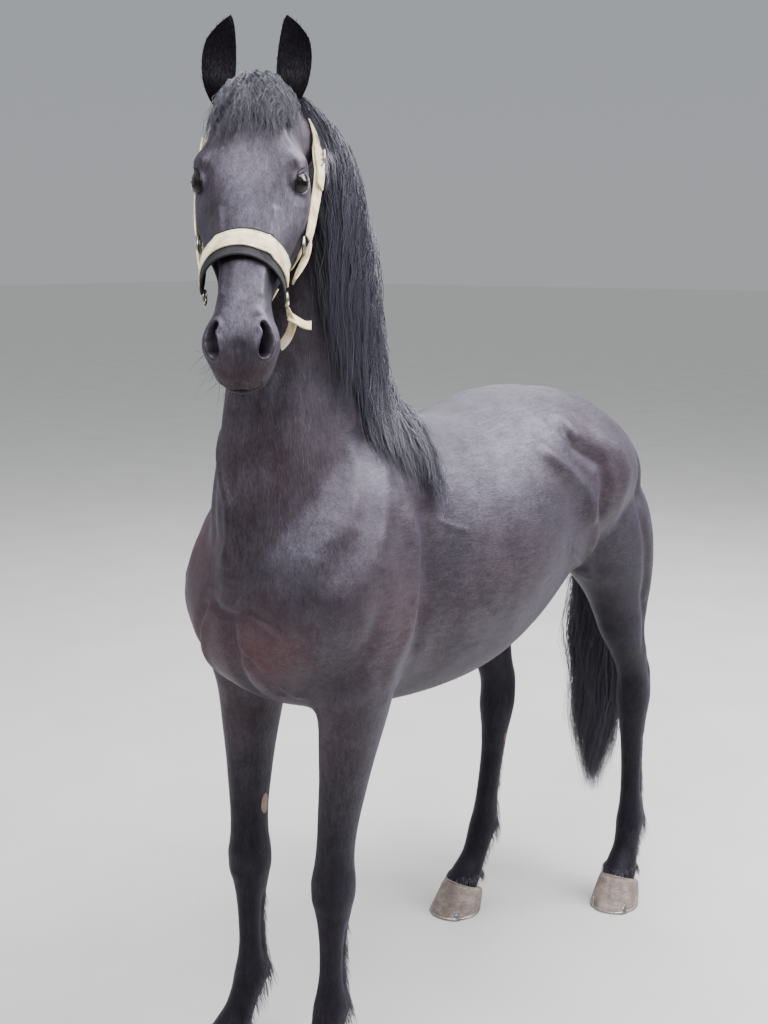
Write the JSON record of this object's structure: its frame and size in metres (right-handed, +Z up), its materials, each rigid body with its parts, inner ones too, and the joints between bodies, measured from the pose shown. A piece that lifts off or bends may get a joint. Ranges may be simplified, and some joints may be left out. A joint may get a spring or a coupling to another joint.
{
  "type": "horse",
  "caption": "Friesian horse standing square with its head turned to its left, with a long wavy mane and tail, light leg feather and a webbing halter with a padded noseband.",
  "frame": {"origin": "On the floor, under the middle of the horse's bounding box; the soles of the four hooves rest on the plane z = 0.", "axes": "+Z up, -Y the way the body faces, +X to the horse's left. The head is turned 36 degrees to its left."},
  "size_m": [0.5458, 1.8204, 2.2654],
  "materials": {
    "coat": "short black horse hair with a soft sheen",
    "long_hair": "long wavy black horse hair",
    "hoof_horn": "dusty grey-brown horn",
    "eye": "wet dark brown eye",
    "webbing": "woven cream webbing",
    "padding": "ribbed black padding",
    "steel": "worn plated steel"
  },
  "bodies": {
    "root": {"neck": "coat", "cannon_fore_left": "coat", "leg_fore_left": "coat", "cannon_fore_right": "coat", "leg_fore_right": "coat", "cannon_hind_left": "coat", "leg_hind_left": "coat", "cannon_hind_right": "coat", "leg_hind_right": "coat", "torso": "coat", "hoof_fore_left": "hoof_horn", "hoof_fore_right": "hoof_horn", "hoof_hind_left": "hoof_horn", "hoof_hind_right": "hoof_horn", "head": "coat", "eye_left": "eye", "eye_right": "eye", "ear_left": "coat", "ear_right": "coat", "tail": "long_hair", "halter_noseband": "webbing", "halter_pad": "padding", "halter_chin_strap": "webbing", "halter_jaw_strap": "webbing", "halter_crown_strap": "webbing", "halter_cheek_right": "webbing", "halter_cheek_left": "webbing", "halter_strap_end": "webbing", "halter_side_left": "webbing", "halter_side_right": "webbing", "halter_adjuster": "steel", "halter_ring_cheek_left": "steel", "halter_ring_nose_left": "steel", "halter_ring_cheek_right": "steel", "halter_ring_nose_right": "steel"}
  },
  "joints": []
}
